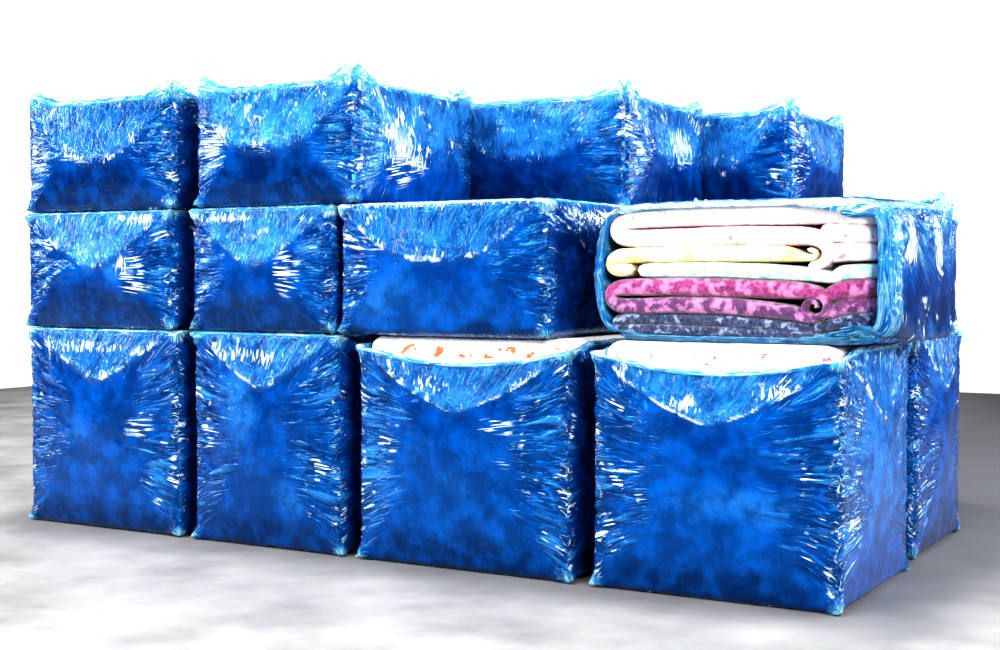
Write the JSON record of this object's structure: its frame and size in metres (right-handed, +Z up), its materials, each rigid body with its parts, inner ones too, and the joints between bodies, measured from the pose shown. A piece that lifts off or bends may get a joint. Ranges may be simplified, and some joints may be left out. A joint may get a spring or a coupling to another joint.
{
  "type": "block stack of film-bagged blanket bales",
  "caption": "Block stack of blanket bales in glossy blue film bags, stepped back at the top, with one bale lying open to show its folded blankets.",
  "frame": {"origin": "middle of the footprint, on the floor", "axes": "+Z up; the long front of the stack, with the open bale at its right end, faces -Y"},
  "size_m": [3.581, 2.554, 1.745],
  "materials": {
    "film": "glossy translucent polyethylene bag film, crinkled",
    "white_fleece": "thick plush fleece, white with small pink and orange flecks",
    "cream_fleece": "thick plush fleece, cream yellow",
    "mint_fleece": "thick plush fleece, pale mint with green flecks",
    "magenta_fleece": "thick plush fleece, magenta with paler folds",
    "grey_fleece": "thick plush fleece, mottled slate grey"
  },
  "bodies": {
    "root": {"bottom_front_bale_1": "film", "bottom_front_bale_2": "film", "middle_front_bale_1": "film", "middle_front_bale_2": "film", "middle_front_bale_3": "film", "top_front_bale_1": "film", "top_front_bale_2": "film", "bottom_centre_bale_1": "film", "bottom_centre_bale_2": "film", "bottom_centre_bale_3": "film", "bottom_centre_bale_4": "film", "middle_centre_bale_1": "film", "middle_centre_bale_2": "film", "middle_centre_bale_3": "film", "middle_centre_bale_4": "film", "top_centre_bale_1": "film", "top_centre_bale_2": "film", "top_centre_bale_3": "film", "bottom_back_bale_1": "film", "bottom_back_bale_2": "film", "bottom_back_bale_3": "film", "bottom_back_bale_4": "film", "middle_back_bale_1": "film", "middle_back_bale_2": "film", "middle_back_bale_3": "film", "middle_back_bale_4": "film", "top_back_bale_1": "film", "top_back_bale_2": "film", "top_back_bale_3": "film", "bottom_front_bag_3": "film", "bottom_front_bag_4": "film", "open_bale_sleeve": "film", "bottom_front_blanket_3": "white_fleece", "bottom_front_blanket_4": "white_fleece", "open_bale_blanket_1": "grey_fleece", "open_bale_blanket_2": "magenta_fleece", "open_bale_blanket_3": "mint_fleece", "open_bale_blanket_4": "cream_fleece", "open_bale_blanket_5": "white_fleece"}
  },
  "joints": []
}
